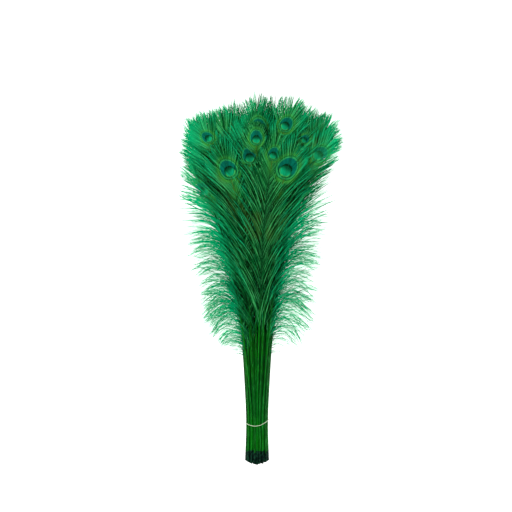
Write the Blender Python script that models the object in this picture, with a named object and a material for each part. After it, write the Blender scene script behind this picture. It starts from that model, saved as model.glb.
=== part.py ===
"""A tied bundle of dyed peacock tail feathers, lying on a flat surface (metres, +Z up).

The bundle lies along Y, its cut quills at -Y and its eyes at +Y, and z = 0 is the surface.
Each feather is one closed solid: a quill and shaft that open into a thin vane, whose outline
is the reach of the barbs. The quills leave the tie packed in rows, and each row fans out into
a layer of its own, in which every vane lies a little over the next one.

"Along" is a distance in +Y from the longest cut end, and "across" is one in +X from the tie.
"""

import math
import random
from collections import namedtuple

import bmesh
import bpy
from mathutils import Vector

# The bundle at its tie
ROW_COUNTS = (9, 10, 11, 10, 9, 6, 3)  # feathers in each row, the lowest row first
QUILL_RADIUS = 0.00205
QUILL_PITCH = 0.0047
ROW_STEP = QUILL_PITCH * math.sin(math.radians(60))
TIE_GAP = 0.0006  # between the quills and the cord round them
TIE_ALONG = 0.090
TIE_RADIUS = 0.0008
TIE_TILT = 0.138  # the cord's way along +Y, for each metre across
TIE_BOW = 12.9  # and for each square metre
TIE_CORNERS = 26
TIE_SIDES = 6

# The cut ends, which spread a little below the tie and end on a shallow curve
BASE_FLARE = 0.11
CUT_CURVE = 0.007  # how much shorter the outermost quills are
CUT_SCATTER = 0.003

# The shaft: its radius falls from the quill's to the tip's by a power of the way along
TIP_RADIUS = 0.0005
TAPER_POWER = 1.3
FLAT_SHARE = 0.5  # half width of the flats above and below a shaft, as a share of its radius
DEPTH_SHARE = 0.9  # half depth of a shaft, as a share of its radius

# The fan. Every shaft spreads by the same rule, so that no two in a row cross.
EYE_FAR = 0.785  # the farthest eyes, along
EYE_DROP = 0.037  # how much nearer the outermost eyes are
EYE_SETBACKS = (0.000, 0.055, 0.020, 0.080)  # taken in turn, so that the eyes overlap in steps
SPREAD = 0.150  # how far the outermost shafts would go sideways, if they reached EYE_FAR
FAN_POWER = 1.4  # the even spread of the whole shaft
TURN_SHARE = 0.6  # part of the spread that comes from the outward turn of the last stretch
TURN_POWER = 6
FAN_HALF = 0.15
ROW_HEIGHTS = (0.0046, 0.018, 0.0315, 0.045, 0.058, 0.071, 0.084)  # at EYE_FAR, on the middle
ROW_CROWNS = (0.000, 0.001, 0.0025, 0.004, 0.0055, 0.007, 0.0085)  # how far a row sinks at FAN_HALF
RISE_POWER = 1.1

# Eyes with a place of their own, most of them open to view: (row, place from the left): (across, along)
OPEN_EYES = {
    (6, 0): (-0.066, 0.680),
    (6, 1): (0.038, 0.715),
    (6, 2): (0.070, 0.683),
    (5, 0): (-0.125, 0.633),
    (5, 1): (-0.114, 0.753),
    (5, 2): (-0.002, 0.753),
    (5, 3): (0.020, 0.655),
    (5, 4): (0.067, 0.783),
    (5, 5): (0.144, 0.715),
    (4, 4): (-0.018, 0.712),
    (4, 7): (0.110, 0.750),
    (3, 5): (0.003, 0.776),
}

# The vane
BARBS_FROM = 0.258  # where the lowest barbs leave the shaft
LOOSE_REACH = 0.080  # of the loose barbs, on a row's two open sides
VANE_REACH = 0.036  # of the vane round the eye
TIP_REACH = 0.064  # of the vane beyond the eye
NARROW_SHARE = 0.42  # of the way to the next shaft, where the feathers are still squeezed
CROWDED, FREE = 0.014, 0.018  # distances between shafts at which the vanes start to pass
PASS_FROM, PASS_TO = 0.48, 0.55  # and places along
LOUVRE = 0.12  # slope that lets each vane in a row pass over the next one
LOUVRE_FROM, LOUVRE_TO = 0.42, 0.50

# Places of the cross-sections
INNER_STATIONS = (TIE_ALONG, 0.20, BARBS_FROM, 0.38, 0.48, 0.55, 0.61, 0.67)
OUTER_STATIONS = (0.282,)  # where the loose barbs of the open sides reach full width
BEYOND_EYE = (0.0, 0.55, 0.85, 0.995)  # shares of TIP_REACH
STATION_GAP = 0.02

DYED_GREEN = (0.016, 0.215, 0.062, 1.0)
COTTON_CREAM = (0.78, 0.74, 0.62, 1.0)

Feather = namedtuple("Feather", "row place tie_x tie_z cut_along cut_z spread eye_along")


def smooth(value, start, end):
    """0 before start, 1 after end, and a smooth step between them."""
    part = min(max((value - start) / (end - start), 0.0), 1.0)
    return part * part * (3 - 2 * part)


def blend(first, second, part):
    return first + (second - first) * part


def shaft_radius(along):
    part = (max(along, 0.0) / (EYE_FAR + TIP_REACH)) ** TAPER_POWER
    return blend(QUILL_RADIUS, TIP_RADIUS, min(part, 1.0))


def fan_way(along):
    """How far the fan has opened at a distance along: 0 at the tie, 1 at the farthest eyes."""
    way = max(along - TIE_ALONG, 0.0) / (EYE_FAR - TIE_ALONG)
    return (1 - TURN_SHARE) * way**FAN_POWER + TURN_SHARE * way**TURN_POWER


def fan_slope(along):
    """The slope of fan_way."""
    run = EYE_FAR - TIE_ALONG
    way = (along - TIE_ALONG) / run
    even = (1 - TURN_SHARE) * FAN_POWER * way ** (FAN_POWER - 1)
    return (even + TURN_SHARE * TURN_POWER * way ** (TURN_POWER - 1)) / run


def eye_of(row, place, tie_x):
    """A feather's spread and the distance along of its eye."""
    if (row, place) in OPEN_EYES:
        across, along = OPEN_EYES[row, place]
        return (across - tie_x) / fan_way(along), along
    side = 2 * place / (ROW_COUNTS[row] - 1) - 1
    setback = EYE_SETBACKS[(place + row) % len(EYE_SETBACKS)]
    return SPREAD * side, EYE_FAR - EYE_DROP * abs(side) ** 1.5 - setback


def planned_feathers():
    """Every row's feathers, as a list of rows."""
    scatter = random.Random(7)
    lowest = QUILL_RADIUS + TIE_GAP + 2 * TIE_RADIUS
    half_width = QUILL_PITCH * (max(ROW_COUNTS) - 1) / 2
    rows = []
    for row, count in enumerate(ROW_COUNTS):
        feathers = []
        for place in range(count):
            tie_x = QUILL_PITCH * (place - (count - 1) / 2)
            spread, eye_along = eye_of(row, place, tie_x)
            feathers.append(
                Feather(
                    row=row,
                    place=place,
                    tie_x=tie_x,
                    tie_z=lowest + row * ROW_STEP,
                    cut_along=CUT_CURVE * (tie_x / half_width) ** 2
                    + scatter.uniform(0, CUT_SCATTER),
                    cut_z=DEPTH_SHARE * QUILL_RADIUS + row * ROW_STEP * (1 + BASE_FLARE),
                    spread=spread,
                    eye_along=eye_along,
                )
            )
        rows.append(feathers)
    return rows


def cosine_at_eye(feather):
    return math.cos(math.atan(feather.spread * fan_slope(feather.eye_along)))


def rise(along):
    """How far a row has risen from its height at the tie to its height at the eyes."""
    way = (along - TIE_ALONG) / (EYE_FAR - TIE_ALONG)
    return math.sin(min(max(way, 0.0), 1.0) * math.pi / 2) ** RISE_POWER


def shaft_at(feather, along):
    """The middle of a feather's shaft: across and height."""
    if along < TIE_ALONG:
        part = 1 - along / TIE_ALONG
        across = feather.tie_x * (1 + BASE_FLARE * part)
        return across, blend(feather.tie_z, feather.cut_z, part)
    within = min(along, feather.eye_along)
    across = feather.tie_x + feather.spread * fan_way(within)
    across += feather.spread * fan_slope(within) * (along - within)
    if lies_flat(feather):
        depth = DEPTH_SHARE * shaft_radius(along)
        return across, blend(feather.tie_z, depth, smooth(along, TIE_ALONG, BARBS_FROM))
    crown = ROW_CROWNS[feather.row] * (across / FAN_HALF) ** 2
    return across, blend(feather.tie_z, ROW_HEIGHTS[feather.row] - crown, rise(along))


def reach(feather, neighbour, along):
    """How far the vane goes from the shaft on one side, towards its neighbour if it has one."""
    radius = shaft_radius(along)
    if along <= BARBS_FROM:
        return radius
    eye = feather.eye_along
    if neighbour is None:
        width = blend(LOOSE_REACH, VANE_REACH, smooth(along, eye - 2 * TIP_REACH, eye))
    else:
        distance = abs(shaft_at(neighbour, along)[0] - shaft_at(feather, along)[0])
        narrow = max(radius, NARROW_SHARE * distance)
        passing = smooth(distance, CROWDED, FREE) * smooth(along, PASS_FROM, PASS_TO)
        width = blend(narrow, VANE_REACH, passing)
    beyond = max(along - eye, 0.0) / (TIP_REACH * cosine_at_eye(feather))
    return max(width * math.sqrt(max(1 - beyond**2, 0.0)), TIP_RADIUS)


def lies_flat(feather):
    """The first feather of the lowest row lies on the surface with its whole underside."""
    return feather.row == 0 and feather.place == 0


def section(feather, left, right, along):
    """Six points round a feather: a vane edge, two below, the other edge, two above."""
    across, height = shaft_at(feather, along)
    depth = DEPTH_SHARE * shaft_radius(along)
    flat = FLAT_SHARE * shaft_radius(along)
    dome = -2 * ROW_CROWNS[feather.row] * rise(along) * across / FAN_HALF**2
    louvre = LOUVRE * smooth(along, LOUVRE_FROM, LOUVRE_TO)
    left_reach = reach(feather, left, along)
    right_reach = reach(feather, right, along)
    left_z = height - (dome - (louvre if left else 0)) * left_reach
    right_z = height + (dome - (louvre if right else 0)) * right_reach
    if lies_flat(feather) and along > BARBS_FROM:
        left_z = right_z = height - depth
    return [
        (across - left_reach, along, left_z),
        (across - flat, along, height - depth),
        (across + flat, along, height - depth),
        (across + right_reach, along, right_z),
        (across + flat, along, height + depth),
        (across - flat, along, height + depth),
    ]


def stations(feather, on_the_side):
    """The distances along at which a feather's cross-sections stand."""
    eye = feather.eye_along
    fixed = INNER_STATIONS + OUTER_STATIONS if on_the_side else INNER_STATIONS
    lower = [along for along in sorted(fixed) if along < eye - STATION_GAP]
    tip = TIP_REACH * cosine_at_eye(feather)
    return [feather.cut_along] + lower + [eye + share * tip for share in BEYOND_EYE]


def solid_from_rings(name, rings, closed):
    """A mesh through rings of points, joined end to end if closed and capped if not."""
    mesh = bpy.data.meshes.new(name)
    bm = bmesh.new()
    loops = [[bm.verts.new(point) for point in ring] for ring in rings]
    sides = len(loops[0])
    pairs = list(zip(loops, loops[1:]))
    if closed:
        pairs.append((loops[-1], loops[0]))
    else:
        bm.faces.new(loops[0])
        bm.faces.new(loops[-1])
    for near, far in pairs:
        for side in range(sides):
            after = (side + 1) % sides
            bm.faces.new((near[side], near[after], far[after], far[side]))
    bmesh.ops.recalc_face_normals(bm, faces=bm.faces)
    bm.to_mesh(mesh)
    bm.free()
    return mesh


def material(name, colour, roughness):
    made = bpy.data.materials.new(name)
    made.use_nodes = True
    shader = made.node_tree.nodes["Principled BSDF"]
    shader.inputs["Base Color"].default_value = colour
    shader.inputs["Roughness"].default_value = roughness
    shader.inputs["Metallic"].default_value = 0.0
    return made


def place_object(name, mesh, colour, roughness):
    mesh.materials.append(material(name, colour, roughness))
    made = bpy.data.objects.new(name, mesh)
    bpy.context.scene.collection.objects.link(made)
    return made


def build_feather(number, feather, row):
    left = row[feather.place - 1] if feather.place > 0 else None
    right = row[feather.place + 1] if feather.place + 1 < len(row) else None
    on_the_side = left is None or right is None
    rings = [section(feather, left, right, along) for along in stations(feather, on_the_side)]
    name = f"feather_{number:02d}"
    return place_object(name, solid_from_rings(name, rings, closed=False), DYED_GREEN, 0.55)


def build_tie(feathers):
    """A cord pulled tight round the quills: the offset of the outline that wraps them."""
    offset = QUILL_RADIUS + TIE_GAP + TIE_RADIUS
    rings = []
    for corner in range(TIE_CORNERS):
        angle = 2 * math.pi * corner / TIE_CORNERS
        outward = Vector((math.cos(angle), 0.0, math.sin(angle)))
        centres = [Vector((feather.tie_x, 0.0, feather.tie_z)) for feather in feathers]
        middle = max(centres, key=outward.dot) + offset * outward
        middle.y = TIE_ALONG + TIE_TILT * middle.x + TIE_BOW * middle.x**2
        ring = []
        for side in range(TIE_SIDES):
            turn = 2 * math.pi * side / TIE_SIDES
            around = math.cos(turn) * outward + Vector((0.0, math.sin(turn), 0.0))
            ring.append(middle + TIE_RADIUS * around)
        rings.append(ring)
    return place_object("tie", solid_from_rings("tie", rings, closed=True), COTTON_CREAM, 0.8)


def settle_on_origin(objects):
    """Moves the objects so that the origin is under the middle of their common box."""
    points = [vertex.co for made in objects for vertex in made.data.vertices]
    low = Vector([min(point[axis] for point in points) for axis in range(3)])
    high = Vector([max(point[axis] for point in points) for axis in range(3)])
    middle = (low + high) / 2
    for made in objects:
        made.location = (-middle.x, -middle.y, -low.z)


def main():
    for made in list(bpy.data.objects):
        bpy.data.objects.remove(made)
    rows = planned_feathers()
    objects = []
    for row in rows:
        for feather in row:
            objects.append(build_feather(len(objects) + 1, feather, row))
    objects.append(build_tie([feather for row in rows for feather in row]))
    settle_on_origin(objects)


main()
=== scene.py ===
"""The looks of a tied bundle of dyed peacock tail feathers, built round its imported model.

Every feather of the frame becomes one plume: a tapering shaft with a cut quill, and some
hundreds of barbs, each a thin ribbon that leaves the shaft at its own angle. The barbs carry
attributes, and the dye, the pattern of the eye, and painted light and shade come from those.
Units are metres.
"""

import math

import bpy
import numpy as np
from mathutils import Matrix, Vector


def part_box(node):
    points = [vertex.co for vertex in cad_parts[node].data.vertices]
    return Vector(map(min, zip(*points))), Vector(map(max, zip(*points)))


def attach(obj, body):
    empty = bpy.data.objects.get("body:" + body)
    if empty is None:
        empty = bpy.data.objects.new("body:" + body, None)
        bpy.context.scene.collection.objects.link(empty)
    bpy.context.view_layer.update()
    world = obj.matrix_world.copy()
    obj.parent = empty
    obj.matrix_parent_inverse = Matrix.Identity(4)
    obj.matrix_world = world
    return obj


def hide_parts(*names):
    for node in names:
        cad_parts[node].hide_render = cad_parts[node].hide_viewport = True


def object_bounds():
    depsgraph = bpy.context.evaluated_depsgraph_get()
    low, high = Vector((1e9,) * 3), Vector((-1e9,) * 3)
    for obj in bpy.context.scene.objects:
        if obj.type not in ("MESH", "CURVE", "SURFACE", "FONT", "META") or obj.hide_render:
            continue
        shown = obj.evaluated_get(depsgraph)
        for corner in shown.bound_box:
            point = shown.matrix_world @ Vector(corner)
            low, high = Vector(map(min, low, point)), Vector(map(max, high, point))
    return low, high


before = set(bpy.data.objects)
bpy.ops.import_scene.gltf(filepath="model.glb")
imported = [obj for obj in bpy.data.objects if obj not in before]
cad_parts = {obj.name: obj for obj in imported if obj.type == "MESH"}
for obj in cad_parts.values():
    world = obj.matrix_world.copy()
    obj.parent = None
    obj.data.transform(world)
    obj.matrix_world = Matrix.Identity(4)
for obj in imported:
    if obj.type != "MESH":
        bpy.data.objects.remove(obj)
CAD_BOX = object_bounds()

SEED = 11
UP = np.array([0.0, 0.0, 1.0])

# The shaft, by the distance from the cut ends
OUTER_FROM, INNER_FROM = 0.245, 0.292  # the lowest barbs of the outer and inner feathers
OUTER_STRETCH, INNER_STRETCH = 0.13, 0.20  # from there up to where all barbs stand
FEWEST = 0.12  # share of them that stand lowest
TIP_REACH = 0.0637  # from the eye's middle to the tip
SHAFT_PAST_EYE = 0.016
SHAFT_THINS = 0.10  # the last stretch of the shaft, where it thins out
SHAFT_END_RADIUS = 0.0002
SHAFT_SIDES = 8
SHAFT_RINGS = 52
CURVE_SAMPLES = 500
LOWEST = 0.0001  # shafts and cord, over the floor

# The cut quill is a tube with pith in it
BORE_SHARE = 0.66  # of the quill's radius
PITH_DEPTH = 0.0025

# Where the barbs stand on the shaft
BARB_POINTS = 9
EYE_ZONE = 0.085  # below the eye's middle, where the barbs stand close
EYE_BARBS = (0.045, 0.115)  # below it, where they turn into loose ones
TOP_BARBS, TOP_POWER = 0.045, 0.75  # the last stretch, where the barbs turn to the tip
HIGH_LAYERS = 0.6  # over this share of the bundle's height the barbs stand closer
HIGH_GAPS, LOW_GAPS = (0.0016, 0.00048), (0.0023, 0.00070)  # between loose barbs, and by the eye
LOOSE_LOCK, EYE_LOCK, FREE_LOCK = 0.0074, 0.0034, 0.0066  # the shaft's length for a lock of barbs
LOCK_SPREAD = (0.65, 1.35)  # of that length
LOCKED, EYE_LOCKED, FREE_LOCKED = 0.62, 0.18, 0.82  # how far those close up towards their tips
SEAM = 0.008  # across, where the barbs part to the left and to the right

# Free barbs stand out at the bundle's sides, past its dense middle
FREE_CHANCE, LOW_CHANCE = 0.35, 1.9  # of a lock to be free, and how many times that lowest
LEAST_FREE = 0.02  # from which barbs do stand out
LOW_CHANCE_ALONG = (0.26, 0.38)
FREE_PAST, LOW_PAST = 0.098, 1.25  # how far they reach past it, and how many times that lowest
LOW_PAST_ALONG = (0.26, 0.40)
PAST_SPREAD = (0.30, 1.35)  # of that reach
SPILL = 0.013  # how far the other barbs reach past it, on average
OTHERS_BEND = 0.45  # how much those bend, as a share of the free ones

# Lengths of barbs
LONG = 0.108  # barbs that lie among others, on the side away from the seam
SHORT = 0.060  # and on the side of the seam
TOP_SHARE, TOP_LAYERS = 0.30, (0.7, 1.0)  # how much longer the top rows' outward barbs are
LONGEST = 0.160
ROOM_AHEAD, LEAST_ROOM = 0.8, 0.002  # where the room for them is measured, and its least
EYE_LONG, EYE_SHORT = 0.074, 0.046  # the same, round the eye
EYE_FREE_SHARE = 0.25  # how much longer on an open side
BESIDE_EYE = (0.03, 0.12)  # below the eye's middle, the stretch in which they change to that
TOP_LENGTH = 0.067  # at the shaft's tip
LOCK_SHORTENS = 0.14  # how much shorter some locks are

# Angles of barbs, in degrees from their shaft
EYE_ANGLE = 36.0  # at the foot, below the eye
START_ANGLE = 17.0  # lower down
CURL = 26.0  # how much farther the tip of a barb leans than its foot
LEAN_RANGE = (0.06, 0.62)  # of the sine of a barb's lean
FREE_START, FREE_END, FREE_REACH = 8.0, 3.0, 14.0  # what free barbs add: at the foot, tip, overall
DROOP_LOW, DROOP_HIGH = 158.0, 62.0  # at the tips of free barbs, lowest and highest
DROOP_FROM, DROOP_TO = 0.30, 0.72  # the stretch of the bundle with those
DROOP_RISE = 0.06  # how far they are up from their feet
BEND_WITHIN = (-0.045, 0.055)  # past the dense middle, where barbs bend over
VANE_ANGLE, FREE_VANE_ANGLE = 24.0, 46.0  # at the tips round the eye
TIP_ANGLE = 12.0  # and at the shaft's tip
DRIFT, DRIFT_WAVES = 2.5, (0.021, 0.037, 0.064)  # slow changes of the angle, and their lengths
SWAY, SWAY_TURNS = (1.0, 3.0), 8.0  # how barbs wave, and over how many radians

# The lift of barbs over their shaft
LOOSE_SLOPE, STEEPEST_VANE = 0.10, 0.2
FOOT = 0.6  # where barbs begin, as a share of the shaft's radius
SAG, FREE_SAG, EYE_SAG = 0.6, 1.6, 0.5  # times the square of a barb's reach to the side
FLUFF, EYE_CALM = 0.035, 0.6  # how far locks stand up, and how much less by the eye
BARB_FLUFF = 0.012  # how far barbs do
STEP_UP, STEP_OVER = 0.0022, 0.012  # outward barbs rise so much in so far; the others sink
FLOOR_GAP, FLOOR_SPREAD = 0.0006, 0.004  # the least height of a barb, and what some tips add
HIGHEST_LIFT = 0.010  # of a barb over the highest shaft

# Widths of barbs
LOOSE_HALF_WIDTH = 0.00050
EYE_HALF_WIDTH = 0.00042
WIDTH_SPREAD = (0.8, 1.2)
FREE_THIN = 0.15  # how much thinner free barbs are
BARB_TAPER, BARB_TIP = 0.35, (0.86, 1.06)  # how barbs thin out, and where they end
ROLL, EYE_ROLL = 0.5, 0.14  # how far barbs are twisted, in radians

# Shades of barbs, from 0, dark, to 1, light: tone that differs at random, with painted shade and painted
# light added
SHADE = 0.485
LOCK_SHADES, BARB_SHADES, FEATHER_SHADES = 0.10, 0.06, 0.16  # how they differ
EYE_SHADE, FREE_SHADE = 0.12, 0.14  # how much lighter by the eye; and where free, as painted light through the thin free barbs
HIGH_SHADE, HIGH_ALONG = 0.05, (0.45, 0.55)  # and higher up the bundle
UNDER_SHADE = 0.34  # painted shade: how much darker the lowest layer's loose barbs are, lying under the others
UNDER_RIM, UNDER_HIGH, UNDER_ALONG = 0.8, 0.6, (0.52, 0.66)  # and less so at the rim and higher up
VALLEY_SHADE, VALLEY_ACROSS, VALLEY_HALF = 0.14, 0.02, 0.06  # painted shade in the fan, by the seam where the feathers meet
RIM_SHADE = 0.13  # painted light through the rim's thin barbs: how much lighter the rim is
LOOSE_CONTRAST, EYE_CONTRAST = 1.30, 0.85  # painted light and shade between a lock's middle, lit, and its sides, shaded
RIDGE = 0.34  # where a lock is neither light nor dark, from its middle
FREE_CALM, RIM_CALM = 0.45, 0.3  # how much weaker on free barbs, and at the rim
IN_EYE_CONTRAST, OUT_OF_EYE = 0.45, (0.9, 1.3)  # and in the eye, in its radii
STREAK_SHADE = 0.34  # how much the painted streaks of light and shade are lighter and darker
STREAKS = (0.0080, 0.0128)  # from one dark streak to the next, along the seam
STREAK_RISE, STREAK_BEND = 0.12, 0.05  # they rise steeply by the seam, and bend outward

# The bundle's outline, by the distance from the cut ends: its dense middle, and its loose edges
CORE_ALONG = (0.25, 0.38, 0.47, 0.56, 0.61, 0.68)
CORE_HALF = (0.038, 0.053, 0.076, 0.094, 0.130, 0.186)
CORE_RIGHT, CORE_EVENS = 0.80, (0.52, 0.64)  # of that, on the right, below the eyes
EDGE_ALONG = (0.25, 0.29, 0.34, 0.43, 0.52, 0.61, 0.68, 0.76, 0.80, 0.82, 0.845, 0.865)
EDGE_LEFT = (0.060, 0.118, 0.150, 0.172, 0.198, 0.202, 0.202, 0.186, 0.184, 0.128, 0.072, 0.018)
EDGE_RIGHT = (0.060, 0.140, 0.155, 0.168, 0.176, 0.194, 0.208, 0.210, 0.205, 0.178, 0.137, 0.016)
RAGGED, STRAY = 0.115, 0.006  # how unevenly the barbs end there
SHORTEST_SHARE = 0.15  # of a barb, at least
RIM_IN_CORE = (-0.25, 0.5)  # where the rim's light colour sets in, as a share of the core
RIM_OUTSIDE, RIM_WITHIN = 0.9, (0.015, 0.095)  # and by the distance from the edge
RIM_FREE, RIM_TOP, RIM_TOP_ALONG = 0.6, 0.35, (0.77, 0.84)  # on free barbs, and at the top

# The eye
EYE_WIDE, EYE_TALL = 0.0215, 0.0270  # half of its width and height, at size 1
EYE_TURN, TURN_OVER = 17.0, 0.06  # degrees that eyes lean outward, this far from the middle
TURN_WITHIN = (1.3, 2.4)  # in the eye's radii
EYE_SHIFT = 0.0007  # how unevenly its barbs carry the pattern
OPEN_EYES = {  # the sizes of those open to view, from the top down
    "feather_58": 1.05,
    "feather_56": 0.90,
    "feather_57": 0.60,
    "feather_54": 0.70,
    "feather_52": 0.68,
    "feather_51": 0.58,
    "feather_45": 0.76,
    "feather_48": 0.46,
    "feather_36": 0.90,
}
HALF_COVERED = {"feather_50": 0.75, "feather_55": 0.80}
FAINT_SIZES = (0.70, 0.90)  # of the eyes that lie under other feathers
OPEN_STRENGTH, HALF_STRENGTH, FAINT_STRENGTH = 1.0, 0.7, 0.25
DIP_WITHIN = (1.12, 2.0)  # round an open eye, in its radii, where other barbs sink under it
OWN_RING = (1.5, 2.0)  # where barbs of a higher open eye do, in its own radii
DIP_GAP = 0.0025

# The cord
STRAND_RADIUS = 0.00050
STRAND_OFFSET = 0.00042
TWIST_PITCH = 0.0042
CORD_POINTS = 220
CORD_SIDES = 6
CORD_DIRECTIONS = 720  # in which the tie's solid is measured

# Camera and light
VIEW_MIDDLE = (-0.0056, 0.0575, 0.04)
VIEW_WIDTH = 1.178
VIEW_DISTANCE = 4.2
SENSOR = 36.0
FLOOR_HALF = 14.0
FLOOR_GLOW = 0.95  # the floor is lit from below as well
SKY_GLOW = 0.55
# Their names, places, powers and sizes
LIGHTS = (("key", (-1.1, 0.9, 3.0), 56.0, 1.2), ("fill", (1.8, -1.0, 2.6), 27.0, 2.2))


def smooth(value, start, end):
    """0 at start, 1 at end, and a smooth step between them."""
    part = np.clip((value - start) / (end - start), 0.0, 1.0)
    return part * part * (3 - 2 * part)


def blend(first, second, part):
    return first + (second - first) * part


def unit(vectors):
    return vectors / np.linalg.norm(vectors, axis=-1, keepdims=True)


# -------- shafts, from the frame


def cross_sections(node):
    """A feather's sections in the frame: x, y, z of the shaft, its radius, and the vane's two slopes."""
    points = np.array([tuple(vertex.co) for vertex in node.data.vertices])
    points = points[np.argsort(points[:, 1])]
    breaks = np.flatnonzero(np.diff(points[:, 1]) > 0.001) + 1
    sections = []
    for ring in np.split(points, breaks):
        ring = np.unique(np.round(ring, 6), axis=0)
        left, right, inner = ring[0], ring[-1], ring[1:-1]
        middle = (inner.min(0) + inner.max(0)) / 2
        radius = inner[:, 0].max() - inner[:, 0].min()
        left_slope = (left[2] - middle[2]) / (middle[0] - left[0])
        right_slope = (right[2] - middle[2]) / (right[0] - middle[0])
        sections.append([*middle, radius, left_slope, right_slope])
    return np.array(sections)


def curve_through(knots, values, at):
    """A smooth curve through values at the knots."""
    slopes = np.gradient(values, knots)
    cell = np.clip(np.searchsorted(knots, at) - 1, 0, len(knots) - 2)
    width = knots[cell + 1] - knots[cell]
    part = (at - knots[cell]) / width
    rest = 1 - part
    return (
        values[cell] * (1 + 2 * part) * rest**2
        + values[cell + 1] * (3 - 2 * part) * part**2
        + width * part * rest * (slopes[cell] * rest - slopes[cell + 1] * part)
    )


class Shaft:
    """A feather's shaft, by the way along it from its cut end."""

    def __init__(self, node):
        sections = cross_sections(node)
        knots = sections[:, 1]
        y = np.linspace(knots[0], knots[-1], CURVE_SAMPLES)
        self.points = np.stack(
            [curve_through(knots, sections[:, 0], y), y, curve_through(knots, sections[:, 2], y)], axis=1
        )
        steps = np.linalg.norm(np.diff(self.points, axis=0), axis=1)
        self.ways = np.concatenate([[0.0], np.cumsum(steps)])
        self.tangents = unit(np.gradient(self.points, self.ways, axis=0))
        self.radii = np.interp(y, knots, sections[:, 3])
        self.slopes = {-1: np.interp(y, knots, sections[:, 4]), 1: np.interp(y, knots, sections[:, 5])}
        self.eye = self.ways[-1] - TIP_REACH
        self.tie_x = float(np.interp(knots[1], y, self.points[:, 0]))

    def read(self, values, way):
        """Values kept for the samples, at the ways given."""
        if values.ndim == 1:
            return np.interp(way, self.ways, values)
        return np.stack([np.interp(way, self.ways, column) for column in values.T], axis=-1)

    def place(self, way):
        """Points on the shaft and the directions there: forward, right and up."""
        forward = unit(self.read(self.tangents, way))
        right = unit(np.cross(forward, UP))
        return self.read(self.points, way), forward, right, np.cross(right, forward)


# -------- meshes


def new_object(name, data):
    made = bpy.data.objects.new(name, data)
    bpy.context.scene.collection.objects.link(made)
    return made


class Sheaf:
    """Collects a piece's vertices and faces, with what its materials read."""

    def __init__(self):
        self.points, self.faces, self.eye, self.strand, self.bake, self.slots = [], [], [], [], [], []
        self.count = 0

    def add(self, points, faces, eye, strand, bake, slot):
        self.points.append(points.reshape(-1, 3))
        self.faces.append(faces.reshape(-1, 4) + self.count)
        self.eye.append(eye.reshape(-1, 3))
        self.strand.append(strand.reshape(-1, 3))
        self.bake.append(bake.reshape(-1, 2))
        self.slots.append(np.full(faces.size // 4, slot, dtype=np.int32))
        self.count += points.size // 3

    def build(self, name, materials):
        points = np.concatenate(self.points)
        faces = np.concatenate(self.faces)
        mesh = bpy.data.meshes.new(name)
        mesh.from_pydata(points.tolist(), [], faces.tolist())
        for label, values in (("eye", self.eye), ("strand", self.strand)):
            attribute = mesh.attributes.new(label, "FLOAT_VECTOR", "POINT")
            attribute.data.foreach_set("vector", np.concatenate(values).astype(np.float32).ravel())
        layer = mesh.uv_layers.new(name="OFBake")
        corners = np.empty(len(mesh.loops), dtype=np.int32)
        mesh.loops.foreach_get("vertex_index", corners)
        layer.data.foreach_set("uv", np.concatenate(self.bake)[corners].astype(np.float32).ravel())
        mesh.polygons.foreach_set("material_index", np.concatenate(self.slots))
        for made in materials:
            mesh.materials.append(made)
        mesh.shade_smooth()
        return new_object(name, mesh)


def grid_faces(rows, columns):
    """Quads over a grid of points, row by row, closed round the columns."""
    row, column = np.meshgrid(np.arange(rows - 1), np.arange(columns), indexing="ij")
    after = (column + 1) % columns
    corners = [row * columns + column, row * columns + after]
    corners += [(row + 1) * columns + after, (row + 1) * columns + column]
    return np.stack(corners, axis=-1).reshape(-1, 4)


def ribbon_faces(count, length):
    """Quads of ribbons that each have two vertices at every one of their points."""
    start = np.arange(count)[:, None] * length * 2 + np.arange(length - 1)[None, :] * 2
    return np.stack([start, start + 1, start + 3, start + 2], axis=-1).reshape(-1, 4)


def tube(points, radii, sides):
    """Vertices of a tube round a path: a ring of them for every point."""
    forward = unit(np.gradient(points, axis=0))
    right = unit(np.cross(forward, UP))
    up = np.cross(right, forward)
    turn = 2 * math.pi * np.arange(sides) / sides
    around = right[:, None] * np.cos(turn)[None, :, None] + up[:, None] * np.sin(turn)[None, :, None]
    return points[:, None] + around * radii[:, None, None]


# -------- plumes

SHAFT_BAND = 0.06  # of the baking map's height, for the shaft
BARBS_IN_A_BAND = 240
BARB_SLOT, SHAFT_SLOT, PITH_SLOT = 0, 1, 2


def barb_ways(shaft, outer, loose_gap, eye_gap, rng):
    """Where the barbs of one side leave the shaft."""
    lowest = blend(INNER_FROM, OUTER_FROM, outer)
    all_stand = lowest + blend(INNER_STRETCH, OUTER_STRETCH, outer)
    loose = np.arange(lowest, shaft.eye - EYE_ZONE, loose_gap)
    chance = blend(FEWEST, 1.0, smooth(loose, lowest - 0.02, all_stand))
    loose = loose[rng.random(len(loose)) < chance]
    dense = np.arange(shaft.eye - EYE_ZONE, shaft.eye + SHAFT_PAST_EYE, eye_gap)
    gaps = np.concatenate([np.full(len(loose), loose_gap), np.full(len(dense), eye_gap)])
    return np.concatenate([loose, dense]) + gaps * rng.uniform(-0.4, 0.4, len(gaps))


def drift(way, rng):
    """A slow, smooth change along the shaft."""
    total = np.zeros(len(way))
    for wave in DRIFT_WAVES:
        total += np.sin(2 * math.pi * way / wave + rng.uniform(0, 2 * math.pi))
    return DRIFT * total / 1.7


def gather(way, width, rng):
    """Gathers barbs in locks: each one's lock, the lock's middle, and the barb's place in it, -1 to 1."""
    edges = [way.min() - width[0] * rng.random()]
    while edges[-1] <= way.max():
        edges.append(edges[-1] + float(np.interp(edges[-1], way, width)) * rng.uniform(*LOCK_SPREAD))
    edges = np.array(edges)
    lock = np.searchsorted(edges, way, side="right") - 1
    middle = (edges[lock] + edges[lock + 1]) / 2
    return lock, middle, 2 * (way - middle) / (edges[lock + 1] - edges[lock])


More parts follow.
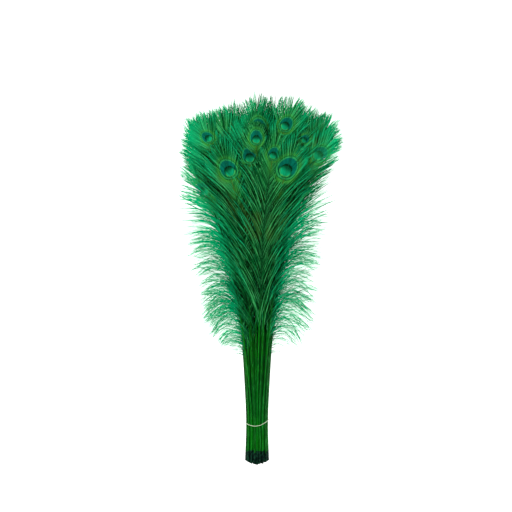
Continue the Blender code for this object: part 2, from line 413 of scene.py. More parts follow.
def core_half(along, across):
    """Half the width of the bundle's dense middle, on the side that across says."""
    right = blend(CORE_RIGHT, 1.0, smooth(along, *CORE_EVENS))
    return np.interp(along, CORE_ALONG, CORE_HALF) * np.where(across < 0, 1.0, right)


def outline(path, bottom, stray):
    """Half the bundle's width beside the points of the barbs: its dense middle, and its loose edge."""
    along = path[..., 1] - bottom + stray
    left = np.interp(along, EDGE_ALONG, EDGE_LEFT)
    right = np.interp(along, EDGE_ALONG, EDGE_RIGHT)
    return core_half(along, path[..., 0]), np.where(path[..., 0] < 0, left, right)


def kept_shares(path, bottom, unbound, spill, rough, rng):
    """How much of each barb lies within the bundle's outline, uneven as that is."""
    count = len(path)
    core, edge = outline(path, bottom, STRAY * rng.normal(0, 1, count)[:, None])
    limit = np.where(unbound[:, None], edge, np.minimum(core + spill[:, None], edge))
    limit = limit * (1 - RAGGED * rough)[:, None]
    inside = np.abs(path[..., 0]) <= limit
    inside[:, :2] = True
    first_out = np.where(inside.all(axis=1), BARB_POINTS, np.argmin(inside, axis=1))
    shares = (first_out - rng.uniform(0.5, 1.0, count)) / (BARB_POINTS - 1)
    return np.clip(shares, SHORTEST_SHARE, 1.0)


def cut_short(values, share):
    """What is kept for the points of the barbs, read again up to a share of their length."""
    at = share[:, None] * np.arange(BARB_POINTS)[None, :]
    before = np.minimum(at.astype(int), BARB_POINTS - 2)
    rows = np.arange(len(values))[:, None]
    return blend(values[rows, before], values[rows, before + 1], (at - before)[..., None])


def dip_under(path, own_ring, eyes, rank):
    """Lowers the barbs where they would cover an eye that is open to view."""
    for number, eye in enumerate(eyes):
        if number == rank:
            continue
        away = path - eye["middle"]
        across = away @ eye["right"]
        x = across / (EYE_WIDE * eye["size"])
        y = away @ eye["forward"] / (EYE_TALL * eye["size"])
        under = 1 - smooth(np.hypot(x, y), *DIP_WITHIN)
        if rank < number:
            under = under * smooth(own_ring, *OWN_RING)
        slope = np.where(across > 0, eye["slopes"][1], eye["slopes"][-1])
        plane = eye["middle"][2] + slope * np.abs(across) - DIP_GAP
        path[..., 2] -= under * np.maximum(path[..., 2] - plane, 0)


def painted_streaks(path, bottom):
    """Painted streaks of light and shade that run with the barbs: lit locks and shaded gaps between them,
    the same for all feathers, about -1 to 1.
    """
    away = np.abs(path[..., 0] - SEAM)
    height = path[..., 1] - bottom - STREAK_RISE * np.log1p(away / STREAK_BEND)
    bend = 1.3 * np.sin(61.0 * away + 2.0) + 1.1 * np.sin(97.0 * path[..., 1])
    total = np.sin(2 * math.pi * height / STREAKS[0] + bend)
    total += np.sin(2 * math.pi * height / STREAKS[1] - 1.7 * bend + 1.0)
    return total / 1.6


def turn_eye(places, look):
    """Leans the eye's pattern over, and leaves the barbs farther off as they are."""
    far = np.hypot(places[..., 0], places[..., 1]) / (EYE_TALL * look["size"])
    turn = look["turn"] * (1 - smooth(far, *TURN_WITHIN))
    across = places[..., 0] * np.cos(turn) - places[..., 1] * np.sin(turn)
    along = places[..., 0] * np.sin(turn) + places[..., 1] * np.cos(turn)
    return np.stack([across, along], axis=-1)


class Barbs:
    """The barbs along one side of a feather.

    open is 1 on the outer side of the outer feathers and 0 on their inner side. Outward barbs lean
    away from the seam, or belong to a top feather. For each barb, near is 1 round the eye and 0
    lower down, and free is over 0 where it stands out from the bundle. The steps of grow() keep
    their order, since most of them draw random numbers.
    """

    def __init__(self, shaft, side, bottom, look, rng):
        self.shaft = shaft
        self.side = side
        self.bottom = bottom
        self.look = look
        self.rng = rng
        self.open = look["free"][side]
        self.way = np.sort(barb_ways(shaft, self.open, *look["gaps"], rng))
        self.base, self.forward, self.right, self.up = shaft.place(self.way)
        self.along = self.base[:, 1] - bottom
        self.below = shaft.eye - self.way
        self.near = 1 - smooth(self.below, *EYE_BARBS)
        self.q = np.linspace(0, 1, BARB_POINTS)[None, :]

        self.outward = look["crown"] or (self.base[:, 0].mean() - SEAM) * side > 0
        self.open_outward = self.open if self.outward else 0.0
        loose_lock = blend(LOOSE_LOCK, FREE_LOCK, self.open_outward)
        width = blend(loose_lock, EYE_LOCK, self.near)
        self.lock, self.leaders, self.place = gather(self.way, width, rng)
        self.locks = self.lock.max() + 1

        chance = FREE_CHANCE * blend(LOW_CHANCE, 1.0, smooth(self.along, *LOW_CHANCE_ALONG))
        self.free = self.open_outward * (rng.random(self.locks)[self.lock] < chance)
        self.stands = self.free > LEAST_FREE
        self.spill = self.open_outward * rng.exponential(SPILL, self.locks)[self.lock]

    def per_lock(self):
        return self.rng.normal(0, 1, self.locks)[self.lock]

    def per_barb(self):
        return self.rng.normal(0, 1, len(self.way))

    def measure(self):
        """The room to the side for each barb, and its length."""
        across = self.side * self.base[:, 0]
        room = self.side * SEAM - across
        if self.outward:
            room = core_half(self.along + ROOM_AHEAD * LONG, self.side) - across
        self.room = np.maximum(room, LEAST_ROOM)
        self.long = SHORT
        if self.outward:
            self.long = LONG * (1 + TOP_SHARE * smooth(self.look["layer"], *TOP_LAYERS))
        past = FREE_PAST * self.rng.uniform(*PAST_SPREAD, self.locks)[self.lock]
        past = past * blend(LOW_PAST, 1.0, smooth(self.along, *LOW_PAST_ALONG))
        reach = self.room / math.sin(math.radians(START_ANGLE + FREE_REACH)) + past
        others = (self.long + self.spill) * (1 - LOCK_SHORTENS * np.abs(self.per_lock()))
        length = np.where(self.stands, np.minimum(reach, LONGEST), others)
        beside = EYE_LONG * (1 + EYE_FREE_SHARE * self.open) if self.outward else EYE_SHORT
        by_eye = np.where(self.below < BESIDE_EYE[0], EYE_LONG, beside)
        length = blend(length, by_eye, 1 - smooth(self.below, *BESIDE_EYE))
        length = blend(length, TOP_LENGTH, 1 - smooth(self.below, -SHAFT_PAST_EYE, BESIDE_EYE[0]))
        by_lock = (0.06 + 0.06 * self.near * self.open) * self.per_lock()
        self.length = length * (1 + by_lock + 0.05 * self.per_barb())

    def aim(self):
        """The angles of each barb: at its foot, at its tip, and where it droops; and how it sways."""
        near, free = self.near, self.free
        left_over = np.clip((self.below + SHAFT_PAST_EYE) / TOP_BARBS, 0.0, 1.0)
        top = 1 - left_over**TOP_POWER
        lean = np.degrees(np.arcsin(np.clip(self.room / self.long, *LEAN_RANGE)))
        low = np.minimum(lean - CURL / 2, START_ANGLE) if self.outward else lean * 0.8
        low = np.where(self.stands, START_ANGLE + FREE_START, low)
        high = lean + (CURL / 2 if self.outward else 0.0)
        high = np.where(self.stands, START_ANGLE + CURL + FREE_END, high)
        start = blend(low, EYE_ANGLE, near) * (1 - top)
        self.start = start + 1.0 * self.per_lock() + 0.5 * self.per_barb()
        end = blend(blend(high, blend(VANE_ANGLE, FREE_VANE_ANGLE, free), near), TIP_ANGLE, top)
        end = end + drift(self.way, self.rng)
        end = end + (2.6 + 2.0 * free) * self.per_lock()
        self.end = end + (0.8 + 1.2 * free + 1.8 * near) * self.per_barb()
        drooping = smooth(self.along + DROOP_RISE, DROOP_FROM, DROOP_TO)
        self.drooped = blend(DROOP_LOW, DROOP_HIGH, drooping) + 7.0 * self.per_lock()
        self.sway = self.rng.uniform(*SWAY, len(self.way)) * (1 + 0.4 * free) * blend(1.0, 0.4, near)
        self.phase = self.rng.uniform(0, 2 * math.pi, self.locks)[self.lock] + 0.3 * self.per_barb()

    def trace(self):
        """Follows the barbs from their feet. They bend over once they are past the dense middle."""
        count = len(self.way)
        sideways, ahead = np.zeros((count, BARB_POINTS)), np.zeros((count, BARB_POINTS))
        step = self.length / (BARB_POINTS - 1)
        bending = np.where(self.stands, self.free, OTHERS_BEND * self.open_outward)
        for k in range(BARB_POINTS - 1):
            q = k / (BARB_POINTS - 1)
            here = self.base + self.right * (self.side * sideways[:, k])[:, None]
            here = here + self.forward * ahead[:, k][:, None]
            edge = core_half(here[:, 1] - self.bottom, self.side)
            bent = bending * smooth(self.side * here[:, 0] - edge, *BEND_WITHIN)
            angle = blend(self.start, self.end, q**1.2)
            angle = angle + self.sway * np.sin(SWAY_TURNS * q + self.phase) * q
            angle = np.radians(blend(angle, self.drooped, bent))
            sideways[:, k + 1] = sideways[:, k] + np.sin(angle) * step
            ahead[:, k + 1] = ahead[:, k] + np.cos(angle) * step
        closing = blend(blend(LOCKED, EYE_LOCKED, self.near), FREE_LOCKED, self.free)
        ahead += (closing * (self.leaders - self.way))[:, None] * smooth(self.q, 0.05, 0.8)
        return sideways, ahead

    def lay(self, sideways, ahead):
        """The barbs' paths, and their places in the eye's own plane."""
        near, shaft = self.near, self.shaft
        facing = 1.0 if self.outward else -1.0
        vane = np.clip(shaft.read(shaft.slopes[self.side], self.way), -STEEPEST_VANE, STEEPEST_VANE)
        slope = blend(LOOSE_SLOPE * facing, vane, near)[:, None]
        sag = blend(blend(SAG, FREE_SAG, self.free), EYE_SAG, near)[:, None]
        fluff = FLUFF * (1 - EYE_CALM * near) * self.per_lock() + BARB_FLUFF * self.per_barb()
        lift = slope * sideways - sag * sideways**2 + fluff[:, None] * self.length[:, None] * self.q**1.5
        lift += (STEP_UP * facing * (1 - near))[:, None] * smooth(sideways, 0.0, STEP_OVER)
        radii = shaft.read(shaft.radii, self.way)
        self.path = (
            (self.base + self.right * (self.side * radii * FOOT)[:, None])[:, None]
            + self.right[:, None] * (self.side * sideways)[..., None]
            + self.forward[:, None] * ahead[..., None]
            + self.up[:, None] * lift[..., None]
        )
        self.places = np.stack([self.side * sideways, (self.way - shaft.eye)[:, None] + ahead], axis=-1)

    def trim(self):
        """Cuts the barbs to the bundle's outline, and lowers them under open eyes."""
        near, look = self.near, self.look
        rough = blend(0.8, 0.4, near) * np.abs(self.per_lock())
        rough = rough + blend(0.5, 1.3, near) * np.abs(self.per_barb())
        unbound = self.stands | (near > 0.5)
        share = kept_shares(self.path, self.bottom, unbound, self.spill, rough, self.rng)
        path = cut_short(self.path, share)
        self.places = turn_eye(cut_short(self.places, share), look)
        x = self.places[..., 0] / (EYE_WIDE * look["size"])
        y = self.places[..., 1] / (EYE_TALL * look["size"])
        self.ring = np.hypot(x, y)
        dip_under(path, self.ring, look["eyes"], look["rank"])
        floor = FLOOR_GAP + FLOOR_SPREAD * self.rng.random(len(self.way))[:, None] * self.q
        path[..., 2] = np.clip(path[..., 2], floor, CAD_BOX[1].z + HIGHEST_LIFT)
        self.path = path

    def flatten(self):
        """The direction across each ribbon, and half its width."""
        tangent = unit(np.gradient(self.path, axis=1))
        flat = unit(np.cross(tangent, self.up[:, None]))
        normal = np.cross(flat, tangent)
        roll = (blend(ROLL, EYE_ROLL, self.near) * self.per_barb())[:, None, None]
        self.wide = flat * np.cos(roll) + normal * np.sin(roll)
        half = blend(LOOSE_HALF_WIDTH, EYE_HALF_WIDTH, self.near)
        half = half * self.rng.uniform(*WIDTH_SPREAD, len(self.way))
        half = (half * (1 - FREE_THIN * self.free))[:, None]
        self.half = half * (1 - BARB_TAPER * self.q) * (1 - smooth(self.q, *BARB_TIP))

    def light_rim(self):
        """How near a barb's points are to the bundle's light rim."""
        core, edge = outline(self.path, self.bottom, 0.0)
        away = np.abs(self.path[..., 0])
        past_core = 1 - smooth((core - away) / core, *RIM_IN_CORE)
        self.rim = np.maximum(past_core, RIM_OUTSIDE * (1 - smooth(edge - away, *RIM_WITHIN)))
        self.rim = np.maximum(self.rim, RIM_FREE * self.free[:, None])
        tops = RIM_TOP * smooth(self.path[..., 1] - self.bottom, *RIM_TOP_ALONG)
        self.rim = np.maximum(self.rim, tops)

    def paint(self):
        """The shade of each point of the barbs: tone that differs at random, with painted shade and painted
        light added.
        """
        near, free, rim, look = self.near, self.free, self.rim, self.look
        shade = SHADE + LOCK_SHADES * self.per_lock() + BARB_SHADES * self.per_barb()
        shade = shade + FEATHER_SHADES * (look["tone"] - 0.5)
        # Free barbs are made lighter as painted light through their thin barbs.
        shade += EYE_SHADE * near + FREE_SHADE * free + HIGH_SHADE * smooth(self.along, *HIGH_ALONG)
        loose = ((1 - near) * (1 - free))[:, None]
        # Painted shade on loose barbs of the lower layers, which lie under the others.
        under = UNDER_SHADE * (1 - look["layer"]) * loose * (1 - UNDER_RIM * rim)
        under = under * blend(1.0, UNDER_HIGH, smooth(self.path[..., 1] - self.bottom, *UNDER_ALONG))
        # Painted shade by the seam, where the feathers meet.
        from_valley = np.abs(self.path[..., 0] - VALLEY_ACROSS)
        valley_shade = near[:, None] * (1 - smooth(from_valley, 0.0, VALLEY_HALF))
        # Painted light and shade on each lock: lit in its middle, shaded at its sides.
        lock_light_and_shade = blend(LOOSE_CONTRAST, EYE_CONTRAST, near) * (RIDGE - np.abs(self.place))
        lock_light_and_shade = (lock_light_and_shade * (1 - FREE_CALM * free))[:, None] * (1 - RIM_CALM * rim)
        lock_light_and_shade = lock_light_and_shade * blend(IN_EYE_CONTRAST, 1.0, smooth(self.ring, *OUT_OF_EYE))
        shade = shade[:, None] - under - VALLEY_SHADE * valley_shade + RIM_SHADE * rim
        shade = shade + STREAK_SHADE * loose * painted_streaks(self.path, self.bottom) + lock_light_and_shade
        self.shade = np.clip(shade, 0.0, 1.0)

    def grow(self):
        """Paths, directions across, half widths, places in the eye, shades, and the light rim."""
        self.measure()
        self.aim()
        self.lay(*self.trace())
        self.trim()
        self.flatten()
        self.light_rim()
        self.paint()
        return self.path, self.wide, self.half, self.places, self.shade, self.rim


def add_barbs(sheaf, shaft, bottom, look, rng):
    """All barbs of a feather, joined as ribbons."""
    sides = [Barbs(shaft, side, bottom, look, rng).grow() for side in (-1, 1)]
    path, wide, half, places, shade, rim = (np.concatenate(both) for both in zip(*sides))
    count = len(path)
    points = np.stack([path - wide * half[..., None], path + wide * half[..., None]], axis=2)
    points[..., 2] = np.maximum(points[..., 2], FLOOR_GAP / 2)
    q = np.broadcast_to(np.linspace(0, 1, BARB_POINTS)[None, :, None], (count, BARB_POINTS, 2))
    shift = EYE_SHIFT * rng.normal(0, 1, count)[:, None, None]
    eye = np.zeros((count, BARB_POINTS, 2, 3))
    eye[..., 0] = places[:, :, None, 0] / (EYE_WIDE * look["size"])
    eye[..., 1] = (places[:, :, None, 1] + shift) / (EYE_TALL * look["size"])
    eye[..., 2] = look["strength"]
    strand = np.zeros_like(eye)
    strand[..., 0] = q
    strand[..., 1] = shade[..., None]
    strand[..., 2] = rim[..., None]
    bands = math.ceil(count / BARBS_IN_A_BAND)
    index = np.arange(count)[:, None, None]
    bake = np.zeros((count, BARB_POINTS, 2, 2))
    bake[..., 0] = (index % BARBS_IN_A_BAND + 0.08 + 0.84 * np.arange(2)) / BARBS_IN_A_BAND
    bake[..., 1] = SHAFT_BAND + (1 - SHAFT_BAND) * (index // BARBS_IN_A_BAND + 0.02 + 0.96 * q) / bands
    sheaf.add(points, ribbon_faces(count, BARB_POINTS), eye, strand, bake, BARB_SLOT)


def add_shaft(sheaf, shaft, look):
    """The shaft and quill as a tapering tube, with a bore and its pith at the cut."""
    end = shaft.eye + SHAFT_PAST_EYE
    way = end * np.linspace(0, 1, SHAFT_RINGS) ** 0.9
    radii = shaft.read(shaft.radii, way)
    radii = blend(SHAFT_END_RADIUS, radii, 1 - smooth(way, end - SHAFT_THINS, end))
    points = shaft.read(shaft.points, way)
    rings = tube(points, radii, SHAFT_SIDES)
    rings[..., 2] = np.maximum(rings[..., 2], LOWEST)

    def marks(count, along_shaft):
        """For rings: the place by the eye, how far round to the flank, which takes painted shade, and the
        tone.
        """
        eye = np.zeros((count, SHAFT_SIDES, 3))
        eye[..., 1] = ((along_shaft - shaft.eye) / (EYE_TALL * look["size"]))[:, None]
        strand = np.zeros_like(eye)
        strand[..., 0] = np.abs(np.cos(2 * math.pi * np.arange(SHAFT_SIDES) / SHAFT_SIDES))
        strand[..., 1] = look["tone"]
        return eye, strand

    turn = np.broadcast_to(np.arange(SHAFT_SIDES) / SHAFT_SIDES, (SHAFT_RINGS, SHAFT_SIDES))
    bake = np.stack([np.broadcast_to((way / end)[:, None], turn.shape), turn * SHAFT_BAND * 0.8], axis=-1)
    faces = grid_faces(SHAFT_RINGS, SHAFT_SIDES)[:, ::-1]
    sheaf.add(rings, faces, *marks(SHAFT_RINGS, way), bake, SHAFT_SLOT)

    shares = np.array([1.0, BORE_SHARE, BORE_SHARE, 0.02])
    depths = np.array([0.0, 0.0002, PITH_DEPTH, PITH_DEPTH * 0.8])
    axis = points[0] + unit(points[1] - points[0]) * depths[:, None]
    bore = axis[:, None] + (rings[0] - points[0])[None] * shares[:, None, None]
    bake = np.zeros((4, SHAFT_SIDES, 2))
    bake[..., 0] = np.linspace(0.002, 0.01, 4)[:, None]
    bake[..., 1] = SHAFT_BAND * 0.9
    sheaf.add(bore, grid_faces(4, SHAFT_SIDES), *marks(4, depths), bake, PITH_SLOT)


def eye_of(name, rng):
    """The size of a feather's eye, and how strongly it is painted."""
    faint = rng.uniform(*FAINT_SIZES)
    if name in OPEN_EYES:
        return OPEN_EYES[name], OPEN_STRENGTH
    return HALF_COVERED.get(name, faint), HALF_STRENGTH if name in HALF_COVERED else FAINT_STRENGTH


def open_eyes(shafts):
    """The places of the eyes that are open to view, from the top down."""
    eyes = []
    for name, size in OPEN_EYES.items():
        shaft = shafts[name]
        middle, forward, right, _ = (part[0] for part in shaft.place(np.array([shaft.eye])))
        slopes = {}
        for side in (-1, 1):
            slope = shaft.read(shaft.slopes[side], shaft.eye)
            slopes[side] = float(np.clip(slope, -STEEPEST_VANE, STEEPEST_VANE))
        eyes.append({"middle": middle, "forward": forward, "right": right, "size": size, "slopes": slopes})
    return eyes


def plume(name, shaft, number, bottom, half_tie, layer, eyes, materials):
    """One feather of the bundle."""
    rng = np.random.default_rng(SEED + number)
    size, strength = eye_of(name, rng)
    sidedness = shaft.tie_x / half_tie
    lean = float(np.clip(shaft.read(shaft.points, shaft.eye)[0] / TURN_OVER, -1, 1))
    ranks = list(OPEN_EYES)
    look = {
        "size": size,
        "strength": strength,
        "tone": rng.random(),
        "layer": layer,
        "crown": layer == 1.0,
        "free": {side: float(smooth(side * sidedness, 0.0, 0.7)) for side in (-1, 1)},
        "turn": math.radians(EYE_TURN) * lean,
        "gaps": HIGH_GAPS if layer > HIGH_LAYERS else LOW_GAPS,
        "eyes": eyes,
        "rank": ranks.index(name) if name in ranks else len(ranks),
    }
    sheaf = Sheaf()
    add_shaft(sheaf, shaft, look)
    add_barbs(sheaf, shaft, bottom, look, rng)
    piece = sheaf.build(f"plume_{number:02d}", materials)
    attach(piece, "root")
    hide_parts(name)


# -------- the cord


def cord_path():
    """The middle of the cord, a closed loop, from the outline of the tie's solid."""
    points = np.array([tuple(vertex.co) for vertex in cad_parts["tie"].data.vertices])
    low, high = points.min(0), points.max(0)
    radius = STRAND_RADIUS + STRAND_OFFSET
    bow = np.polyfit(points[:, 0], points[:, 1], 2)
    turn = 2 * math.pi * np.arange(CORD_DIRECTIONS) / CORD_DIRECTIONS
    outward = np.stack([np.cos(turn), np.zeros(CORD_DIRECTIONS), np.sin(turn)], axis=1)
    outline = points[np.argmax(outward @ (points - (low + high) / 2).T, axis=1)] - outward * radius
    steps = np.linalg.norm(np.diff(outline, axis=0, append=outline[:1]), axis=1)
    way = np.concatenate([[0.0], np.cumsum(steps)])
    even = np.linspace(0, way[-1], CORD_POINTS, endpoint=False)
    closed = np.concatenate([outline, outline[:1]])
    loop = np.stack([np.interp(even, way, closed[:, k]) for k in range(3)], axis=1)
    loop[:, 1] = np.polyval(bow, loop[:, 0])
    for _ in range(3):
        loop = (np.roll(loop, 1, axis=0) + 2 * loop + np.roll(loop, -1, axis=0)) / 4
    return loop, way[-1]


def build_cord(made):
    """Two strands twisted round each other, all the way round the quills."""
    loop, length = cord_path()
    forward = unit(np.roll(loop, -1, axis=0) - np.roll(loop, 1, axis=0))
    beside = np.array([0.0, 1.0, 0.0]) * np.ones((CORD_POINTS, 1))
    outward = unit(np.cross(forward, beside))
    turns = round(length / TWIST_PITCH)
    twist = 2 * math.pi * turns * np.arange(CORD_POINTS) / CORD_POINTS
    sheaf = Sheaf()
    for strand_number in range(2):
        angle = (twist + math.pi * strand_number)[:, None]
        middle = loop + STRAND_OFFSET * (outward * np.cos(angle) + beside * np.sin(angle))
        turn = (2 * math.pi * np.arange(CORD_SIDES) / CORD_SIDES)[None, :, None]
        around = outward[:, None] * np.cos(turn) + beside[:, None] * np.sin(turn)
        rings = middle[:, None] + STRAND_RADIUS * around
        rings[..., 2] = np.maximum(rings[..., 2], LOWEST)
        rings = np.concatenate([rings, rings[:1]])
        shape = rings.shape[:2]
        eye = np.zeros(shape + (3,))
        strand = np.zeros(shape + (3,))
        strand[..., 0] = np.linspace(0, 1, shape[0])[:, None]
        bake = np.zeros(shape + (2,))
        bake[..., 0] = np.linspace(0, 1, shape[0])[:, None]
        bake[..., 1] = (np.arange(CORD_SIDES) / CORD_SIDES + strand_number) / 2
        sheaf.add(rings, grid_faces(shape[0], CORD_SIDES), eye, strand, bake, 0)
    piece = sheaf.build("cord_loop", [made])
    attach(piece, "root")
    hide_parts("tie")


# -------- materials


def colour(red, green, blue):
    """A linear colour from display values, 0 to 255."""
    display = np.array([red, green, blue]) / 255
    linear = np.where(display <= 0.04045, display / 12.92, ((display + 0.055) / 1.055) ** 2.4)
    return (*linear.tolist(), 1.0)


class Graph:
    """A material's nodes, with short calls for the ones that it takes many of."""

    def __init__(self, name):
        self.material = bpy.data.materials.new(name)
        self.material.use_nodes = True
        self.tree = self.material.node_tree
        self.shader = self.tree.nodes["Principled BSDF"]

    def put(self, socket, value):
        if isinstance(value, bpy.types.NodeSocket):
            self.tree.links.new(value, socket)
        else:
            socket.default_value = value

    def node(self, kind, **settings):
        made = self.tree.nodes.new(kind)
        for name, value in settings.items():
            setattr(made, name, value)
        return made

    def attribute(self, name):
        split = self.node("ShaderNodeSeparateXYZ")
        self.put(split.inputs[0], self.node("ShaderNodeAttribute", attribute_name=name).outputs["Vector"])
        return split.outputs

    def math(self, operation, first, second=0.0):
        made = self.node("ShaderNodeMath", operation=operation)
        self.put(made.inputs[0], first)
        self.put(made.inputs[1], second)
        return made.outputs[0]

    def line(self, value, slope, start):
        return self.math("ADD", self.math("MULTIPLY", value, slope), start)

    def step(self, value, start, end):
        """0 at start, 1 at end."""
        made = self.node("ShaderNodeMapRange", interpolation_type="SMOOTHSTEP")
        self.put(made.inputs["Value"], value)
        low, high, flip = (start, end, False) if start < end else (end, start, True)
        made.inputs["From Min"].default_value = low
        made.inputs["From Max"].default_value = high
        made.inputs["To Min"].default_value = 1.0 if flip else 0.0
        made.inputs["To Max"].default_value = 0.0 if flip else 1.0
        return made.outputs["Result"]

    def both(self, *parts):
        """The product of masks."""
        made = parts[0]
        for part in parts[1:]:
            made = self.math("MULTIPLY", made, part)
        return made

    def mix(self, part, first, second):
        made = self.node("ShaderNodeMix", data_type="RGBA")
        self.put(made.inputs["Factor"], part)
        self.put(made.inputs[6], first)
        self.put(made.inputs[7], second)
        return made.outputs[2]

    def noise(self, scale, detail=2.0, drawn_out=1.0):
        """Noise in the object's space, drawn out along the bundle."""
        place = self.node("ShaderNodeMapping")
        self.put(place.inputs["Vector"], self.node("ShaderNodeTexCoord").outputs["Object"])
        place.inputs["Scale"].default_value = (1.0, 1.0 / drawn_out, 1.0)
        made = self.node("ShaderNodeTexNoise")
        self.put(made.inputs["Vector"], place.outputs["Vector"])
        made.inputs["Scale"].default_value = scale
        made.inputs["Detail"].default_value = detail
        return made.outputs["Fac"]

    def ellipse(self, x, y, middle, wide, tall):
        """Distance from an ellipse's middle, which is 1 on its outline."""
        across = self.math("DIVIDE", x, wide)
        along = self.math("DIVIDE", self.math("SUBTRACT", y, middle), tall)
        total = self.math("ADD", self.math("MULTIPLY", across, across), self.math("MULTIPLY", along, along))
        return self.math("SQRT", total)

    def bump(self, height, strength, distance):
        made = self.node("ShaderNodeBump")
        self.put(made.inputs["Height"], height)
        made.inputs["Strength"].default_value = strength
        made.inputs["Distance"].default_value = distance
        self.put(self.shader.inputs["Normal"], made.outputs["Normal"])

    def finish(self, base, roughness, specular):
        self.put(self.shader.inputs["Base Color"], base)
        self.put(self.shader.inputs["Roughness"], roughness)
        self.shader.inputs["Specular IOR Level"].default_value = specular
        return self.material


DEEP = colour(0, 40, 8)
GREEN = colour(6, 118, 52)
LIGHT = colour(62, 164, 92)
TEAL = colour(0, 168, 108)
OLIVE = colour(70, 104, 30)
LIME = colour(60, 154, 54)
LINE = colour(2, 84, 40)
RING = colour(44, 160, 84)
CAP = colour(0, 104, 82)
CAP_LOW = colour(0, 88, 50)
NIGHT = colour(0, 44, 18)
OVAL = colour(10, 176, 116)
OVAL_TOP = colour(2, 74, 42)
SAGE = colour(74, 182, 78)


def eye_pattern(graph, x, y, ground):
    """Paints the eye over the ground. x and y are 1 on its outline."""
    egg = graph.math("MULTIPLY", x, graph.line(y, 0.10, 1.0))
    ring = graph.ellipse(egg, y, 0.0, 1.0, 1.0)
    oval = graph.ellipse(x, y, -0.34, 0.60, 0.44)
    cap = graph.ellipse(x, y, -0.19, 0.56, 0.47)
    width = graph.math("ABSOLUTE", x)
    low = graph.line(graph.step(y, 1.0, -0.4), 0.35, 0.45)
    halo = graph.both(graph.step(ring, 1.50, 1.12), low)
    trail = graph.both(
        graph.step(width, 0.75, 0.1), graph.step(y, -4.2, -1.2), graph.step(y, -0.7, -1.0), 0.7
    )
    made = graph.mix(graph.math("MAXIMUM", halo, trail), ground, LIME)
    made = graph.mix(graph.step(ring, 1.12, 1.04), made, LINE)
    made = graph.mix(graph.step(ring, 1.03, 0.97), made, RING)
    heart = graph.mix(graph.step(y, -0.10, -0.45), CAP, CAP_LOW)
    made = graph.mix(graph.step(ring, 0.92, 0.84), made, heart)
    made = graph.mix(graph.step(cap, 1.06, 0.94), made, NIGHT)
    rim = graph.mix(graph.step(y, -0.2, -0.6), CAP_LOW, SAGE)
    made = graph.mix(graph.step(oval, 1.03, 0.97), made, rim)
    inner = graph.mix(graph.step(y, -0.5, 0.05), OVAL, OVAL_TOP)
    return graph.mix(graph.step(oval, 0.92, 0.78), made, inner)


def barb_material():
    graph = Graph("dyed_barbs")
    x, y, strength = graph.attribute("eye")
    q, shade, rim = graph.attribute("strand")
    # The shade attribute, painted light and shade included, picks the ground's colour, and below it scales
    # the value.
    ground = graph.mix(graph.step(shade, 0.05, 0.5), DEEP, GREEN)
    ground = graph.mix(graph.step(shade, 0.5, 0.95), ground, LIGHT)
    patches = graph.both(graph.step(graph.noise(11.0), 0.55, 0.70), graph.step(q, 0.0, 0.3), 0.45)
    ground = graph.mix(graph.both(patches, graph.step(q, 0.9, 0.5)), ground, OLIVE)
    tips = graph.both(graph.step(q, 0.45, 1.0), graph.step(shade, 0.2, 0.8))
    edge = graph.both(graph.step(rim, 0.0, 1.0), graph.step(shade, 0.1, 0.45))
    ground = graph.mix(graph.math("MAXIMUM", tips, edge), ground, TEAL)
    painted = graph.mix(strength, ground, eye_pattern(graph, x, y, ground))
    # Painted shade: the feet of the barbs, buried under the others, are darker.
    foot_shade = graph.line(graph.step(q, 0.0, 0.4), 0.35, 0.65)
    value = graph.both(foot_shade, graph.line(shade, 1.1, 0.38))
    tint = graph.node("ShaderNodeVectorMath", operation="SCALE")
    graph.put(tint.inputs[0], painted)
    graph.put(tint.inputs["Scale"], value)
    return graph.finish(tint.outputs[0], graph.line(graph.noise(700.0), 0.3, 0.45), 0.02)


def shaft_material(bottom):
    graph = Graph("dyed_shaft")
    y = graph.attribute("eye")[1]
    shaded_flank, tone, _ = graph.attribute("strand")
    body = graph.mix(tone, colour(0, 68, 2), colour(2, 126, 12))
    # Darker streaks along the quills.
    dark_streaks = graph.step(graph.noise(480.0, 2.0, 40.0), 0.52, 0.38)
    # Painted highlights: thin light glints along the quills.
    painted_glints = graph.step(graph.noise(700.0, 3.0, 30.0), 0.52, 0.66)
    body = graph.mix(graph.both(dark_streaks, 0.55), body, colour(0, 44, 0))
    body = graph.mix(graph.both(painted_glints, 0.75), body, colour(36, 158, 56))
    # Painted shade on the flanks of the shafts, where they face their neighbours.
    body = graph.mix(graph.both(graph.step(shaded_flank, 0.45, 1.0), 0.7), body, colour(0, 34, 4))
    body = graph.mix(graph.both(graph.step(graph.noise(13.0), 0.48, 0.60), 0.35), body, colour(0, 90, 32))
    body = graph.mix(graph.step(y, -3.2, -1.2), body, colour(72, 96, 28))
    body = graph.mix(graph.step(y, -1.1, -0.6), body, colour(8, 116, 66))
    place = graph.node("ShaderNodeSeparateXYZ")
    graph.put(place.inputs[0], graph.node("ShaderNodeTexCoord").outputs["Object"])
    ragged = graph.math(
        "ADD", graph.math("MULTIPLY", graph.noise(260.0), 0.014), graph.math("MULTIPLY", tone, 0.008)
    )
    height = graph.math("SUBTRACT", place.outputs["Y"], bottom)
    # Painted shade on the shafts where they run under the barbs.
    shade_under_barbs = graph.both(graph.step(height, 0.30, 0.42), graph.step(y, -2.2, -3.2))
    body = graph.mix(shade_under_barbs, body, colour(0, 62, 24))
    edge = graph.math("SUBTRACT", height, ragged)
    dipped = graph.mix(graph.step(graph.noise(170.0), 0.42, 0.66), colour(0, 22, 16), colour(16, 62, 42))
    body = graph.mix(graph.step(edge, 0.022, 0.019), body, dipped)
    graph.bump(graph.noise(900.0, 3.0), 0.25, 0.0004)
    return graph.finish(body, graph.line(graph.noise(300.0), 0.25, 0.38), 0.05)


def pith_material():
    graph = Graph("pale_pith")
    speck = graph.step(graph.noise(1500.0, 4.0), 0.35, 0.7)
    return graph.finish(graph.mix(speck, colour(150, 150, 120), colour(226, 224, 205)), 0.85, 0.2)


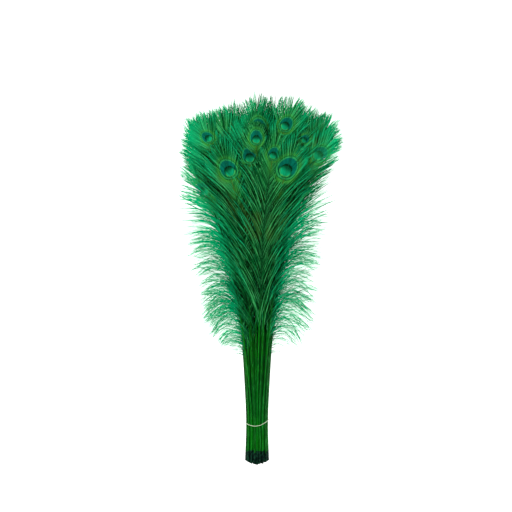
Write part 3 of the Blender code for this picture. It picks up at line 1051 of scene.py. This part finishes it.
def cord_material():
    graph = Graph("twisted_cotton")
    fibre = graph.step(graph.noise(2500.0, 3.0), 0.3, 0.7)
    graph.bump(fibre, 0.5, 0.0002)
    return graph.finish(graph.mix(fibre, colour(190, 212, 172), colour(228, 242, 216)), 0.8, 0.2)


# -------- studio


def build_floor():
    mesh = bpy.data.meshes.new("floor")
    corners = ((-1, -1), (1, -1), (1, 1), (-1, 1))
    mesh.from_pydata([(x * FLOOR_HALF, y * FLOOR_HALF, 0) for x, y in corners], [], [(0, 1, 2, 3)])
    graph = Graph("pale_floor")
    graph.shader.inputs["Emission Color"].default_value = (1.0, 1.0, 1.0, 1.0)
    graph.shader.inputs["Emission Strength"].default_value = FLOOR_GLOW
    mesh.materials.append(graph.finish(colour(247, 247, 247), 0.9, 0.1))
    new_object("floor", mesh)


def build_light():
    world = bpy.data.worlds.new("studio")
    world.use_nodes = True
    sky = world.node_tree.nodes["Background"]
    sky.inputs["Color"].default_value = (1.0, 1.0, 1.0, 1.0)
    sky.inputs["Strength"].default_value = SKY_GLOW
    bpy.context.scene.world = world
    for name, place, power, size in LIGHTS:
        data = bpy.data.lights.new(name, "AREA")
        data.energy = power
        data.size = size
        light = new_object(name, data)
        light.location = place
        aim = np.array(place) - np.array(VIEW_MIDDLE)
        tilt = math.acos(aim[2] / np.linalg.norm(aim))
        light.rotation_euler = (tilt, 0.0, math.atan2(aim[1], aim[0]) + math.pi / 2)


def build_camera():
    data = bpy.data.cameras.new("camera")
    data.sensor_width = SENSOR
    data.lens = SENSOR * VIEW_DISTANCE / VIEW_WIDTH
    data.clip_end = 100.0
    camera = new_object("camera", data)
    camera.location = (VIEW_MIDDLE[0], VIEW_MIDDLE[1], VIEW_MIDDLE[2] + VIEW_DISTANCE)
    bpy.context.scene.camera = camera


# -------- the scene


def main():
    bottom = CAD_BOX[0].y
    feathers = sorted(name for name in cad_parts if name.startswith("feather_"))
    half_tie = (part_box("tie")[1].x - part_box("tie")[0].x) / 2
    heights = {name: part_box(name)[1].z for name in feathers}
    lowest, highest = min(heights.values()), max(heights.values())
    shafts = {name: Shaft(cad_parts[name]) for name in feathers}
    eyes = open_eyes(shafts)
    materials = [barb_material(), shaft_material(bottom), pith_material()]
    for number, name in enumerate(feathers, 1):
        layer = (heights[name] - lowest) / (highest - lowest)
        plume(name, shafts[name], number, bottom, half_tie, layer, eyes, materials)
    build_cord(cord_material())
    build_floor()
    build_light()
    build_camera()
    bpy.context.scene.view_settings.view_transform = "Standard"


main()
